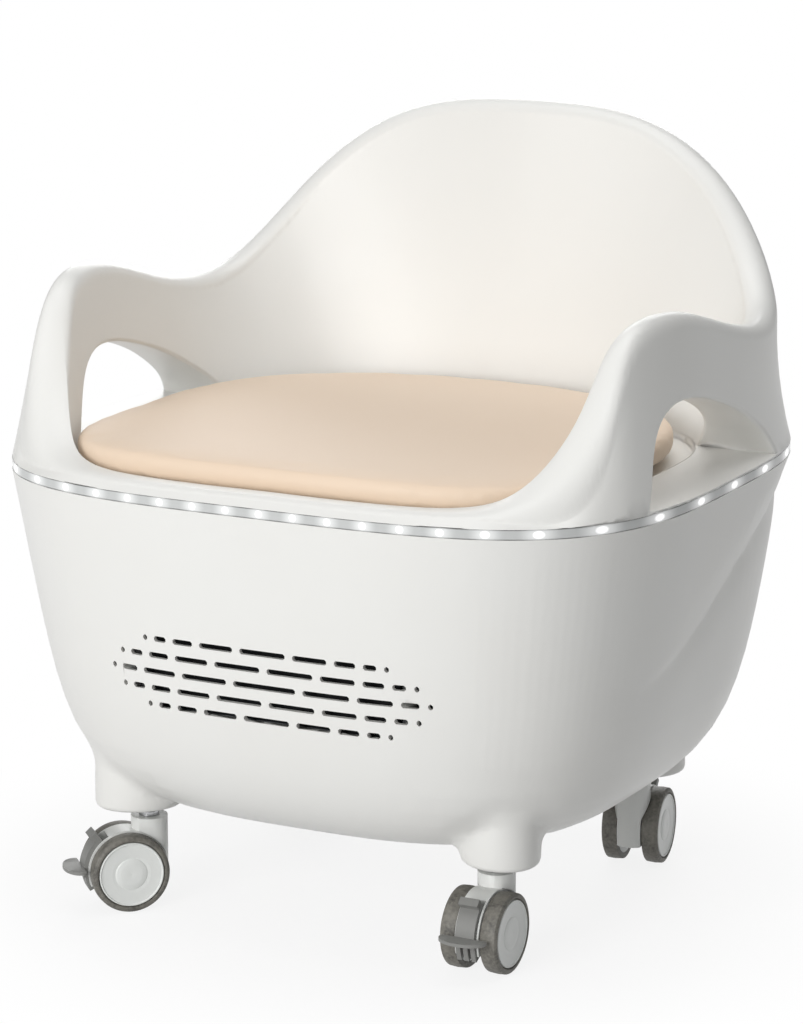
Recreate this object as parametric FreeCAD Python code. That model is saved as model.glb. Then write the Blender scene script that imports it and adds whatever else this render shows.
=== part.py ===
import FreeCAD, Part
import math
import os

# Rolling tub armchair of a foot-care salon.
# Millimetres. The floor is z = 0, the chair faces -Y, and +X is its left-hand side as seen from behind.
# The origin lies on the floor under the centre of the lit rim.

# Rim outline, shared by the tub, the light band and the seat shell
RIM_HALF_WIDTH = 336.5
RIM_HALF_DEPTH = 301.0
RIM_EXPONENT = 3.5
TUB_TOP = 420.6
BAND_HEIGHT = 9.4
DECK = TUB_TOP + BAND_HEIGHT
PLATE_LIFT = 1.0

# Tub bowl
TUB_BOTTOM = 94.5
TUB_FLOOR = 104.0
TUB_WALL = 9.0
FLANGE_THICKNESS = 6.0
TUB_DRAFT = 0.155
TUB_ROUNDING = (6.6, 5.1)
TUB_BOTTOM_EXPONENT = 3.05
TUB_BOTTOM_DEPTH_GAIN = 0.06
TUB_BOTTOM_SHIFT = -2.5
TUB_LEVELS = [95, 97, 99.5, 103, 107.5, 113, 120, 129, 141, 157, 178, 202, 226, 248, 270, 292, 314, 336,
              358, 380, 402, TUB_TOP]
TUB_HOLLOW_LEVELS = [104, 112, 126, 150, 190, 250, 330, TUB_TOP]
FLANGE_WIDTH = 18.0
BAND_RECESS = 10.0
SCREW_RADIUS = 2.0
SCREW_DIRECTIONS = [18, 70, 110, 162, -18, -70, -110, -162]

# Crease that sweeps up each side to the back: its height and depth by plan direction
CREASE_HEIGHT = {-27: 258, -20: 259, -11: 275, -3: 294, 6: 322, 13: 343, 23: 371, 34: 394, 50: 412}
CREASE_DEPTH = {-27: 0, -14: 2.5, 4: 5, 25: 6.5, 38: 4.5, 52: 0}
CREASE_FALL_ABOVE = 45.0
CREASE_FALL_BELOW = 70.0

# Legs and casters: swivel centres (x, y) and the heading of each wheel pair in degrees
CASTERS = {
    "front_left": (-183.0, -176.0, -46.0),
    "front_right": (183.0, -176.0, 0.0),
    "rear_left": (-183.0, 130.0, 165.0),
    "rear_right": (183.0, 130.0, 187.5),
}

# Legs: long outlines that reach out past the casters and flare into the bowl on their inner sides
LEG_BOTTOM = 99.0
LEG_TOP = 190.0
LEG_HALF_LENGTH = 42.0
LEG_HALF_WIDTH = 36.0
LEG_REACH_OUT = 9.0
LEG_EDGE = 5.0
LEG_EDGE_LEVELS = [0, 0.14, 0.44, 1]
LEG_FLARE = 34.0
LEG_FLARE_LEVELS = [0.3, 0.55, 0.75, 0.9, 0.98, 1]
LEG_FLARE_TURNS = (50.0, 105.0)
LEG_ARCS = 14
SOCKET_RADIUS = 8.0
SOCKET_TOP = 140.0

# Vent in the front of the tub, with the wall thinned behind it
VENT_X = 5.0
VENT_Z = 263.0
VENT_PITCH = 16.0
VENT_WALL = 4.0
VENT_POCKET = (336.0, 84.0)
SLOT_HEIGHT = 5.4
SLOT_CORNER = 1.6
SLOT_GAP = 7.6
SLOT_LENGTHS = {"dot": 4.4, "short": 12.5, "half": 16.5, "medium": 20.5, "long": 34.0, "longest": 46.0,
                "extra": 63.0}
VENT_ROWS = [
    "dot short medium long longest long medium short dot",
    "dot short medium long longest longest long medium short dot",
    "dot half long longest extra longest long half dot",
    "dot short medium long longest longest long medium short dot",
    "dot short medium long longest long medium short dot",
]

# Seat pocket and cushion
POCKET_HALF_WIDTH = 268.0
POCKET_FRONT = 263.0
POCKET_REAR = 214.0
POCKET_FRONT_EXPONENT = 4.3
POCKET_REAR_EXPONENT = 2.8
POCKET_FLOOR = DECK - 6.0
POCKET_LEDGE = 2.0
CUSHION_CENTRE_Y = -25.0
CUSHION_HALF_WIDTH = 256.5
CUSHION_HALF_DEPTH = 235.0
CUSHION_LEVELS = [(0, 3.0), (5, 0.0), (17, 0.0), (26, 6.0)]

# Seat wall, as stations round the plan: degrees from the side (-90 is the front, +90 is the back)
CREST_HEIGHT = {
    -90: 439.5, -66: 439.5, -54: 441, -48: 447, -43: 465, -38: 486, -35: 508, -33: 537, -30: 568,
    -24: 590, -16: 595, -6: 587, 6: 568, 18: 555, 27: 553, 36: 576, 45: 629, 53: 678, 62: 707,
    75: 724, 90: 727.5,
}
CREST_INSET = {-90: 26, -66: 27, -54: 31, -48: 36, -43: 40, -38: 46, -35: 46, -33: 42, -30: 39, -24: 38,
               -6: 36, 18: 33, 45: 28, 60: 27, 90: 27}
SHOULDER_INSET = {-90: 8, -50: 8, -43: 8, -38: 6, -33: 12, -30: 17, -24: 22, -6: 21, 18: 18, 36: 13,
                  60: 11, 90: 11}
CREST_ROUNDING = {-90: 4.5, -55: 5, -48: 14, -43: 32, -38: 44, -35: 48, -33: 44, -30: 35, -24: 24,
                  -16: 18, 0: 16, 90: 16}
INNER_ROUNDING = 16.0
WALL_DIRECTIONS = [-98, -80, -64, -54, -47, -40, -34, -28, -18, 0, 16, 32, 48, 64, 80, 98]
STRIP_FACES = 3

# Arm window, cut through both side walls: outline from the front foot over the top to the rear foot (y, z)
WINDOW_EDGE = [(-161, 432), (-154, 450), (-145, 476), (-131, 500), (-110, 513.5), (-85, 517), (-50, 513),
               (-12, 503), (33, 487), (72, 467), (97, 449), (110, 432)]
WINDOW_ROUNDING = 4.0
WALL_REACH = 60.0

# Caster, about its own stem: the wheels trail towards -Y
WHEEL_RADIUS = 37.5
HUB_RADIUS = 31.0
WHEEL_WIDTH = 16.0
WHEEL_GAP = 25.0
TRAIL = 24.0
SWIVEL_RADIUS = 17.5
SWIVEL_TOP = 87.0
STEM_RADIUS = 5.5
AXLE_RADIUS = 4.0
HOOD_RADIUS = 38.3
HOUSING_WIDTH = 23.4
HOUSING_LOW = 24.0
STEM_LOW = 62.0
TREAD_GAP = 1.7
BEARING = (9.5, 4.0)
COLLAR = (8.5, 3.0)
PIN_RADIUS = 2.0
PIN_Y = -49.0
PIN_Z = 52.0

# Brake pedal: reach from the axle, and the angles of its parts round the axle in degrees
PEDAL_WIDTH = 19.0
PEDAL_INNER = 29.0
PEDAL_OUTER = 42.5
PEDAL_POCKET = (118, 262)
PEDAL_COVER = (133, 186)
PEDAL_RIBS = (184, 207)
PEDAL_TAB = (128, 137)
RIB_WIDTH = 4.5
PADDLE_REACH = 46.0
PADDLE_HALF_WIDTH = 23.0
PADDLE_HALF_DEPTH = 14.0
PADDLE_THICKNESS = 3.0
RUNNING_GAP = 0.05

# Light strip
LED_COUNT = 58
LED_SIZE = 3.6
STRIP_INSET = 8.3
STRIP_THICKNESS = 1.6
DIFFUSER_INSET = 0.4
DIFFUSER_THICKNESS = 3.0

# Fan behind the vent
FAN_SIZE = 80.0
FAN_DEPTH = 25.0
FAN_BORE_RADIUS = 38.0
FAN_SCREW_OFFSET = 35.7
MOTOR = (16.0, 4.0)
FAN_HUB = (15.0, 17.0)
FAN_SHAFT = (2.0, 20.0)
FAN_FRONT_GAP = 3.0
FAN_ARM = (5.0, 3.0, 40.0)
FAN_ARMS = 3
BLADE = (16.0, 1.6, 22.0)
BLADE_MIDDLE = 25.0
BLADE_PITCH = 38.0
BLADES = 7
SHEET = 2.0
VENT_PLATE = (292.0, 84.0)
VENT_PLATE_Y = -262.0
SCREW_HEAD = (3.6, 2.4)

# Electrics: sizes (x, y, z), and places on the tub's floor or in the rear panel
SUPPLY = (95.0, 70.0, 36.0)
SUPPLY_PLACE = (-52.0, 8.0)
SUPPLY_SLOT = (60.0, 3.0, 4.0)
SUPPLY_SLOTS = 6
BOARD = (76.0, 58.0, 1.6)
BOARD_PLACE = (52.0, 9.0)
BOARD_LIFT = 8.0
BOARD_CHIPS = [(40, 10, (14, 14, 3)), (70, 20, (10, 16, 12)), (48, -12, (24, 8, 8))]
POST_RADIUS = 3.5
PANEL_Z = 207.0
PANEL_WIDTH = 112.0
PANEL_HEIGHT = 50.0
PANEL_FLOOR_Y = 262.0
PANEL_WALL = 4.0
INLET_X = -26.0
INLET_BODY = (27.0, 20.0, 20.0)
INLET_FLANGE = (34.0, 2.0, 26.0)
INLET_SOCKET = (23.0, 16.0, 15.0)
INLET_BLADE = (2.0, 13.0, 4.0)
INLET_BLADE_PLACES = [(-7, 3), (0, 5), (7, 3)]
SWITCH_X = 26.0
SWITCH_BODY = (19.0, 20.0, 29.0)
SWITCH_BEZEL = (23.0, 2.0, 33.0)
SWITCH_WELL = (16.0, 12.0, 25.0)
KEY_OUTLINE = [(-2.5, -9), (4.6, -11.2), (3.2, 0), (7.6, 10.2), (-0.5, 11.2)]
KEY_WIDTH = 15.4
KEY_PIN = (1.5, 17.4)
KEY_PIN_DEPTH = 2.0

UP = FreeCAD.Vector(0, 0, 1)
ALONG_X = FreeCAD.Vector(1, 0, 0)
ALONG_Y = FreeCAD.Vector(0, 1, 0)


def smooth(stations, at):
    """Value of a station table at a position, along cubic curves that don't overshoot."""
    keys = sorted(stations)
    at = min(max(at, keys[0]), keys[-1])
    last = len(keys) - 2
    i = next((k for k in range(last + 1) if at <= keys[k + 1]), last)

    def slope(k):
        if k in (0, len(keys) - 1):
            return 0.0
        before = (stations[keys[k]] - stations[keys[k - 1]]) / (keys[k] - keys[k - 1])
        after = (stations[keys[k + 1]] - stations[keys[k]]) / (keys[k + 1] - keys[k])
        if before * after <= 0:
            return 0.0
        return 2 * before * after / (before + after)

    span = keys[i + 1] - keys[i]
    s = (at - keys[i]) / span
    rise = stations[keys[i + 1]] - stations[keys[i]]
    start, end = slope(i) * span, slope(i + 1) * span
    return (stations[keys[i]] + start * s + (3 * rise - 2 * start - end) * s ** 2
            + (start + end - 2 * rise) * s ** 3)


def superellipse_radius(half_width, half_depth, exponent, degrees):
    """Distance from the centre to a superellipse, in a plan direction."""
    c = abs(math.cos(math.radians(degrees))) / half_width
    s = abs(math.sin(math.radians(degrees))) / half_depth
    return (c ** exponent + s ** exponent) ** (-1 / exponent)


def rim_radius(degrees, inset=0.0):
    return superellipse_radius(RIM_HALF_WIDTH - inset, RIM_HALF_DEPTH - inset, RIM_EXPONENT, degrees)


def pocket_radius(degrees, inset=0.0):
    if degrees < 0:
        depth, exponent = POCKET_FRONT, POCKET_FRONT_EXPONENT
    else:
        depth, exponent = POCKET_REAR, POCKET_REAR_EXPONENT
    return superellipse_radius(POCKET_HALF_WIDTH - inset, depth - inset, exponent, degrees)


def cushion_radius(degrees, inset=0.0):
    exponent = 4.0 if degrees < 0 else 2.35
    return superellipse_radius(CUSHION_HALF_WIDTH - inset, CUSHION_HALF_DEPTH - inset, exponent, degrees)


def closed_wire(radius, z, centre=(0.0, 0.0), count=32):
    """Closed outline of smooth arcs at one height, from a radius given as a function of the plan direction."""
    def at(i):
        degrees = -180 + 180 * i / count
        angle = math.radians(degrees)
        rho = radius(degrees)
        return FreeCAD.Vector(centre[0] + rho * math.cos(angle), centre[1] + rho * math.sin(angle), z)

    return Part.Wire([Part.Arc(at(2 * i), at(2 * i + 1), at((2 * i + 2) % (2 * count))).toShape()
                      for i in range(count)])


def prism(radius, low, high, centre=(0.0, 0.0)):
    """Upright solid with a smooth outline."""
    return Part.Face(closed_wire(radius, low, centre)).extrude(UP * (high - low))


def ring(outer, inner, low, high):
    return prism(outer, low, high).cut(prism(inner, low - 1, high + 1))


def box(size, centre):
    """Box of a size (x, y, z) about a centre point."""
    corner = FreeCAD.Vector(*centre) - FreeCAD.Vector(*size) * 0.5
    return Part.makeBox(size[0], size[1], size[2], corner)


def cylinder(radius, length, start, direction):
    return Part.makeCylinder(radius, length, FreeCAD.Vector(*start), direction)


def side_plate(points, width):
    """Plate with a side outline (y, z), standing across X about x = 0."""
    corners = [FreeCAD.Vector(-width / 2, y, z) for y, z in points]
    return Part.Face(Part.makePolygon(corners + corners[:1])).extrude(ALONG_X * width)


def mirrored(shape):
    return shape.mirror(FreeCAD.Vector(0, 0, 0), ALONG_X)


def save(name, shape):
    shape.exportStep("parts/" + name + ".step")


# Tub
def tub_scale(z):
    """How far the bowl has drawn in at a height, as a share of the rim's size."""
    h = (z - TUB_BOTTOM) / (TUB_TOP - TUB_BOTTOM)
    power, root = TUB_ROUNDING
    return (1 - TUB_DRAFT * (1 - h)) * (1 - (1 - h) ** power) ** (1 / root)


def crease(degrees, z):
    """How far the side is pressed in beside the crease at a point of the bowl."""
    side = degrees if abs(degrees) <= 90 else math.copysign(180, degrees) - degrees
    depth = smooth(CREASE_DEPTH, side)
    above = z - smooth(CREASE_HEIGHT, side)
    if above > 0:
        return depth * max(0.0, 1 - above / CREASE_FALL_ABOVE) * min(1.0, (TUB_TOP - z) / 12)
    return depth * math.exp(above / CREASE_FALL_BELOW)


def tub_section(z, inset=0.0):
    """Outline of the bowl at a height, or of its hollow when it is set in by the wall."""
    h = (z - TUB_BOTTOM) / (TUB_TOP - TUB_BOTTOM)
    scale = tub_scale(z)
    exponent = TUB_BOTTOM_EXPONENT + (RIM_EXPONENT - TUB_BOTTOM_EXPONENT) * h
    half_width = RIM_HALF_WIDTH * scale - inset
    half_depth = RIM_HALF_DEPTH * scale * (1 + TUB_BOTTOM_DEPTH_GAIN * (1 - h)) - inset

    def radius(degrees):
        pressed_in = 0.0 if inset else crease(degrees, z)
        return superellipse_radius(half_width, half_depth, exponent, degrees) - pressed_in

    return closed_wire(radius, z, (0.0, TUB_BOTTOM_SHIFT * (1 - h)))


def tub_hollow():
    """Room inside the bowl, up to the flange round its top."""
    room = Part.makeLoft([tub_section(z, TUB_WALL) for z in TUB_HOLLOW_LEVELS], True, True)
    below_flange = box((700, 700, TUB_TOP), (0, 0, TUB_TOP / 2 - FLANGE_THICKNESS))
    return room.common(below_flange)


def vent_pocket():
    """Room that thins the wall behind the slots."""
    width, height = VENT_POCKET
    levels = [VENT_Z - height, VENT_Z, VENT_Z + height]
    room = Part.makeLoft([tub_section(z, VENT_WALL) for z in levels], True, True)
    return room.common(box((width, 60, height), (VENT_X, -RIM_HALF_DEPTH + 30, VENT_Z)))


def slot(length, x, z):
    """Straight-through slot in the front wall, with its corners cut."""
    half, tall, cut = length / 2, SLOT_HEIGHT / 2, SLOT_CORNER
    outline = [(cut - half, -tall), (half - cut, -tall), (half, cut - tall), (half, tall - cut),
               (half - cut, tall), (cut - half, tall), (-half, tall - cut), (-half, cut - tall)]
    corners = [FreeCAD.Vector(x + u, -RIM_HALF_DEPTH, z + v) for u, v in outline]
    return Part.Face(Part.makePolygon(corners + corners[:1])).extrude(ALONG_Y * 60)


def vent_slots():
    """The vent's slots, in five staggered rows."""
    slots = []
    for row, names in enumerate(VENT_ROWS):
        z = VENT_Z + VENT_PITCH * (2 - row)
        lengths = [SLOT_LENGTHS[name] for name in names.split()]
        x = VENT_X - (sum(lengths) + SLOT_GAP * (len(lengths) - 1)) / 2
        for length in lengths:
            slots.append(slot(length, x + length / 2, z))
            x += length + SLOT_GAP
    return slots


def leg_outline(corner, z):
    """Outline of one leg at a height: an ellipse along its outward direction, flared on the inner side."""
    x, y, _ = CASTERS[corner]
    outward = math.degrees(math.atan2(y, x))
    up = z - LEG_BOTTOM
    edge = LEG_EDGE - math.sqrt(LEG_EDGE ** 2 - max(0.0, LEG_EDGE - up) ** 2)
    rise = min(max((up - LEG_EDGE) / LEG_FLARE, 0.0), 1.0)
    flare = LEG_FLARE * (1 - math.sqrt(1 - rise ** 2))

    def radius(degrees):
        turn = abs((degrees - outward + 180) % 360 - 180)
        first, last = LEG_FLARE_TURNS
        share = min(max((turn - first) / (last - first), 0.0), 1.0)
        share = share * share * (3 - 2 * share)
        return superellipse_radius(LEG_HALF_LENGTH, LEG_HALF_WIDTH, 2, turn) + flare * share - edge

    reach = LEG_REACH_OUT / math.hypot(x, y)
    return closed_wire(radius, z, (x + x * reach, y + y * reach), LEG_ARCS)


def legs():
    """The four legs, through the bowl's wall into its hollow."""
    levels = [LEG_BOTTOM + LEG_EDGE * share for share in LEG_EDGE_LEVELS]
    levels += [LEG_BOTTOM + LEG_EDGE + LEG_FLARE * share for share in LEG_FLARE_LEVELS] + [LEG_TOP]
    return [Part.makeLoft([leg_outline(corner, z) for z in levels], True, True) for corner in CASTERS]


def tub_shell():
    outer = Part.makeLoft([tub_section(z) for z in TUB_LEVELS], True, True)
    mouth = prism(lambda d: rim_radius(d, FLANGE_WIDTH), TUB_TOP - 2 * FLANGE_THICKNESS, TUB_TOP + 1)
    tub = outer.multiFuse(legs()).cut([tub_hollow(), mouth, vent_pocket()])
    backing = box((PANEL_WIDTH + 8, 60, PANEL_HEIGHT + 8), (0, PANEL_FLOOR_Y - PANEL_WALL + 30, PANEL_Z))
    ribs = [box((8, 40, VENT_PLATE[1]), (side * VENT_PLATE[0] / 2 - side * 4, VENT_PLATE_Y - 20, VENT_Z))
            for side in (-1, 1)]
    bosses = [cylinder(SOCKET_RADIUS + 5, SOCKET_TOP + 4 - LEG_BOTTOM - 1, (x, y, LEG_BOTTOM + 1), UP)
              for x, y, _ in CASTERS.values()]
    tub = tub.multiFuse([part.common(outer) for part in [backing] + ribs] + bosses)
    recess = box((PANEL_WIDTH, 60, PANEL_HEIGHT), (0, PANEL_FLOOR_Y + 30, PANEL_Z))
    holes = [recess]
    holes.append(box(INLET_BODY, (INLET_X, PANEL_FLOOR_Y - 2, PANEL_Z)))
    holes.append(box(SWITCH_BODY, (SWITCH_X, PANEL_FLOOR_Y - 2, PANEL_Z)))
    holes += [cylinder(SOCKET_RADIUS, SOCKET_TOP - LEG_BOTTOM, (x, y, LEG_BOTTOM), UP)
              for x, y, _ in CASTERS.values()]
    holes += rim_screws(SCREW_RADIUS + RUNNING_GAP)
    return tub.cut(holes + vent_slots())


# Seat shell
def wall_section(direction):
    """Points of the wall's section in one plan direction, from the outer foot over the crest to the pocket."""
    degrees = direction
    if degrees < -90:
        degrees = -180 - degrees
    if degrees > 90:
        degrees = 180 - degrees
    top = smooth(CREST_HEIGHT, degrees)
    crest = rim_radius(degrees, smooth(CREST_INSET, degrees))
    inset = smooth(SHOULDER_INSET, degrees)
    rounding = smooth(CREST_ROUNDING, degrees)
    ease = 1 + 2 * min(max((degrees - 10) / 40, 0), 1)
    pocket = pocket_radius(degrees)
    inner_rounding = min(INNER_ROUNDING, 0.35 * (top - DECK))
    inner = crest - min(14.0, 0.55 * (crest - pocket))
    low = top - rounding
    section = []
    for h in (0, 0.5, 1):
        radius = rim_radius(degrees, inset * (1 - (1 - h) ** ease))
        section.append((radius, DECK + (low - DECK) * h))
    shoulder = section[-1][0]
    half_turn = math.sqrt(0.5)
    section.append((shoulder - (shoulder - crest) * (1 - half_turn), top - rounding * (1 - half_turn)))
    section.append((crest, top))
    section.append((crest - (crest - inner) * half_turn, top - inner_rounding * (1 - half_turn)))
    low = top - inner_rounding
    for h in (0, 0.5, 1):
        section.append((inner + (pocket - inner) * h, low - (low - DECK) * h))
    turn = math.radians(direction)
    return [FreeCAD.Vector(rho * math.cos(turn), rho * math.sin(turn), z) for rho, z in section]


def shares(lines):
    """Parameters from 0 to 1 for the points of several lines, from their mean distances apart."""
    lengths = [sum(line[i].distanceToPoint(line[i + 1]) for line in lines) for i in range(len(lines[0]) - 1)]
    at = [0.0]
    for length in lengths:
        at.append(at[-1] + length / sum(lengths))
    return at


def curve_through(points, at):
    curve = Part.BSplineCurve()
    curve.interpolate(Points=points, Parameters=at)
    return curve


def skin(sections, along):
    """Smooth faces through a row of sections, which stand at the given shares of its length."""
    across = shares(sections)
    curves = [curve_through(section, across) for section in sections]
    lines = [curve_through(list(line), along) for line in zip(*[curve.getPoles() for curve in curves])]
    surface = Part.BSplineSurface()
    surface.buildFromPolesMultsKnots([line.getPoles() for line in lines], curves[0].getMultiplicities(),
                                     lines[0].getMultiplicities(), curves[0].getKnots(), lines[0].getKnots(),
                                     False, False, curves[0].Degree, lines[0].Degree)
    faces = []
    for i in range(STRIP_FACES):
        part = surface.copy()
        part.segment(i / STRIP_FACES, (i + 1) / STRIP_FACES, 0, 1)
        faces.append(part.toShape())
    return faces


def in_direction(edge, direction):
    return all(abs(math.degrees(math.atan2(end.Y, end.X)) - direction) < 0.01 for end in edge.Vertexes)


def wall_half():
    """The wall on the +X side: smooth strips from the outer foot over the crest to the pocket."""
    sections = [wall_section(direction) for direction in WALL_DIRECTIONS]
    along = shares(list(zip(*sections)))
    faces = []
    for start in (0, 2, 4, 6):
        faces += skin([section[start:start + 3] for section in sections], along)
    edges = [edge for face in faces for edge in face.Edges]
    feet = [edge for edge in edges if edge.BoundBox.ZMax < DECK + 0.01]
    chords = []
    for section, direction in ((sections[0], WALL_DIRECTIONS[0]), (sections[-1], WALL_DIRECTIONS[-1])):
        chord = Part.makeLine(section[-1], section[0])
        chords.append(chord)
        outline = [edge for edge in edges if in_direction(edge, direction)] + [chord]
        faces.append(Part.Face(Part.Wire(Part.sortEdges(outline)[0])))
    faces.append(Part.Face(Part.Wire(Part.sortEdges(feet + chords)[0])))
    shell = Part.makeShell(faces)
    shell.sewShape()
    solid = Part.makeSolid(shell)
    if solid.Volume < 0:
        solid.reverse()
    half_space = Part.makeBox(400, 800, 400, FreeCAD.Vector(0, -400, DECK - 50))
    return solid.common(half_space)


def arm_window():
    """Prism of the window's outline, right through the +X wall."""
    curve = Part.BSplineCurve()
    curve.interpolate([FreeCAD.Vector(200, y, z) for y, z in WINDOW_EDGE])
    top = curve.toShape()
    sill = Part.makeLine(top.Vertexes[-1].Point, top.Vertexes[0].Point)
    return Part.Face(Part.Wire([top, sill])).extrude(ALONG_X * 200)


def windowed(half):
    """The wall with its arm window cut, and the window's edges rounded above the band."""
    tool = arm_window()
    cut = half.cut(tool)
    arch = max(tool.Faces, key=lambda face: face.Area)
    edges = []
    for edge in cut.Edges:
        middle = Part.Vertex(edge.valueAt((edge.FirstParameter + edge.LastParameter) / 2))
        bounds = edge.BoundBox
        on_arch = middle.distToShape(arch)[0] < 0.01
        if on_arch and bounds.XLength < WALL_REACH and bounds.ZMax > DECK + 3 and edge.Length > 20:
            edges.append(edge)
    return cut.makeFillet(WINDOW_ROUNDING, edges)


def rim_screws(radius, with_heads=False):
    """Screws, or holes for them, up through the tub's flange into the seat plate."""
    screws = []
    for degrees in SCREW_DIRECTIONS:
        rho = rim_radius(degrees, FLANGE_WIDTH - 4)
        x, y = rho * math.cos(math.radians(degrees)), rho * math.sin(math.radians(degrees))
        low = TUB_TOP - FLANGE_THICKNESS
        screw = cylinder(radius, FLANGE_THICKNESS + 7, (x, y, low), UP)
        if with_heads:
            head_radius, height = SCREW_HEAD
            screw = screw.fuse(cylinder(head_radius, height, (x, y, low - height), UP))
        screws.append(screw)
    return screws


def upper_shell():
    """Both halves of the wall, and the seat plate that ties them together under the cushion."""
    half = windowed(wall_half())
    plate = prism(lambda d: rim_radius(d, BAND_RECESS), TUB_TOP, DECK + PLATE_LIFT)
    plate = plate.cut(prism(lambda d: pocket_radius(d, POCKET_LEDGE), POCKET_FLOOR, DECK + 3 * PLATE_LIFT))
    shell = plate.multiFuse([half, mirrored(half)])
    return shell.cut(rim_screws(SCREW_RADIUS))


# Light band
def light_parts():
    """Clear band, the strip behind it stuck to the seat plate, and its emitters."""
    back = STRIP_INSET + STRIP_THICKNESS
    band = ring(lambda d: rim_radius(d, DIFFUSER_INSET),
                lambda d: rim_radius(d, DIFFUSER_INSET + DIFFUSER_THICKNESS), TUB_TOP, DECK)
    strip = ring(lambda d: rim_radius(d, STRIP_INSET), lambda d: rim_radius(d, back), TUB_TOP + 0.7, DECK - 0.7)
    chips = []
    for place in rim_stations(LED_COUNT, STRIP_INSET):
        chip = box((LED_SIZE, 1.6, LED_SIZE), (0, -0.9, 0))
        chip.Placement = place
        chips.append(chip)
    return band, strip, Part.makeCompound(chips)


def rim_stations(count, inset):
    """Places spaced evenly along the rim outline, each with its -Y axis pointing out of the rim."""
    outline = closed_wire(lambda d: rim_radius(d, inset), (TUB_TOP + DECK) / 2)
    points = outline.discretize(Number=2 * count + 1)
    places = []
    for i in range(count):
        along = points[2 * i + 2] - points[2 * i]
        turn = math.degrees(math.atan2(along.y, along.x))
        places.append(FreeCAD.Placement(points[2 * i + 1], FreeCAD.Rotation(UP, turn)))
    return places


# Cushion
def cushion_parts():
    """Upholstered pad, the board it is stapled to, and the pads under the board."""
    board_low = POCKET_FLOOR + 2.0
    pad_low = board_low + 6.0
    centre = (0.0, CUSHION_CENTRE_Y)
    wires = [closed_wire(lambda d, inset=inset: cushion_radius(d, inset), pad_low + up, centre)
             for up, inset in CUSHION_LEVELS]
    pad = Part.makeLoft(wires, True, True)
    board = prism(lambda d: cushion_radius(d, 12.0), board_low, pad_low, centre)
    feet = [cylinder(9.0, 2.0, (x, y + CUSHION_CENTRE_Y, POCKET_FLOOR), UP)
            for x, y in [(-170, -130), (170, -130), (-150, 120), (150, 120)]]
    return pad, board, Part.makeCompound(feet)


# Vent, fan and electrics
def fan_cylinder(size, y, radial_gap=0.0):
    """Cylinder of a size (radius, length) on the fan's axis, from a depth inwards."""
    radius, length = size
    return cylinder(radius + radial_gap, length, (0, y, VENT_Z), ALONG_Y)


def vent_parts():
    """Dust screen and plate behind the slots, with the fan bolted to the plate."""
    width, height = VENT_PLATE
    plate = box((width, SHEET, height), (0, VENT_PLATE_Y + SHEET / 2, VENT_Z))
    bore = fan_cylinder((FAN_BORE_RADIUS, 60), VENT_PLATE_Y - 10)
    screen = box((width - 30, SHEET, height - 8), (0, VENT_PLATE_Y - SHEET / 2, VENT_Z))
    front = VENT_PLATE_Y + SHEET
    back = front + FAN_DEPTH
    frame = box((FAN_SIZE, FAN_DEPTH, FAN_SIZE), (0, front + FAN_DEPTH / 2, VENT_Z)).cut(bore)
    motor = fan_cylinder(MOTOR, back - MOTOR[1])
    arms = []
    for i in range(FAN_ARMS):
        arm = box(FAN_ARM, (0, back - FAN_ARM[1] / 2, VENT_Z + FAN_ARM[2] / 2))
        arm.rotate(FreeCAD.Vector(0, 0, VENT_Z), ALONG_Y, 360 / FAN_ARMS * (i + 0.5))
        arms.append(arm)
    shaft_hole = fan_cylinder((FAN_SHAFT[0], MOTOR[1] - 1), back - MOTOR[1], RUNNING_GAP)
    frame = frame.multiFuse([motor] + arms).cut(shaft_hole)
    screws = []
    for x, z in [(sx * FAN_SCREW_OFFSET, VENT_Z + sz * FAN_SCREW_OFFSET) for sx in (-1, 1) for sz in (-1, 1)]:
        shank = cylinder(SCREW_RADIUS, FAN_DEPTH + SHEET, (x, VENT_PLATE_Y, z), ALONG_Y)
        screws.append(shank.fuse(cylinder(SCREW_HEAD[0], SCREW_HEAD[1], (x, back, z), ALONG_Y)))
    rotor = fan_rotor(front + FAN_FRONT_GAP)
    return screen, plate.cut([bore] + screws), frame.cut(screws), rotor, Part.makeCompound(screws)


def fan_rotor(front):
    """Pitched blades round a cup, on a short shaft that runs in the frame's motor."""
    middle = FreeCAD.Vector(0, front + FAN_HUB[1] / 2, VENT_Z)
    blades = []
    for i in range(BLADES):
        blade = box(BLADE, (0, middle.y, VENT_Z + BLADE_MIDDLE))
        blade.rotate(middle, UP, BLADE_PITCH)
        blade.rotate(middle, ALONG_Y, 360 / BLADES * i)
        blades.append(blade)
    return fan_cylinder(FAN_HUB, front).multiFuse([fan_cylinder(FAN_SHAFT, front)] + blades)


def supply_parts():
    """Power supply and control board on the floor of the tub."""
    x, y = SUPPLY_PLACE
    supply = box(SUPPLY, (x, y, TUB_FLOOR + SUPPLY[2] / 2))
    pitch = 3 * SUPPLY_SLOT[1]
    for i in range(SUPPLY_SLOTS):
        across = y + pitch * (i - (SUPPLY_SLOTS - 1) / 2)
        supply = supply.cut(box(SUPPLY_SLOT, (x, across, TUB_FLOOR + SUPPLY[2] - 1)))
    x, y = BOARD_PLACE
    reach_x, reach_y = BOARD[0] / 2 - 6, BOARD[1] / 2 - 6
    posts = [cylinder(POST_RADIUS, BOARD_LIFT, (x + sx * reach_x, y + sy * reach_y, TUB_FLOOR), UP)
             for sx in (-1, 1) for sy in (-1, 1)]
    top = TUB_FLOOR + BOARD_LIFT + BOARD[2]
    chips = [box(size, (chip_x, chip_y, top + size[2] / 2)) for chip_x, chip_y, size in BOARD_CHIPS]
    board = box(BOARD, (x, y, top - BOARD[2] / 2)).multiFuse(chips)
    return supply, board, Part.makeCompound(posts)


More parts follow.
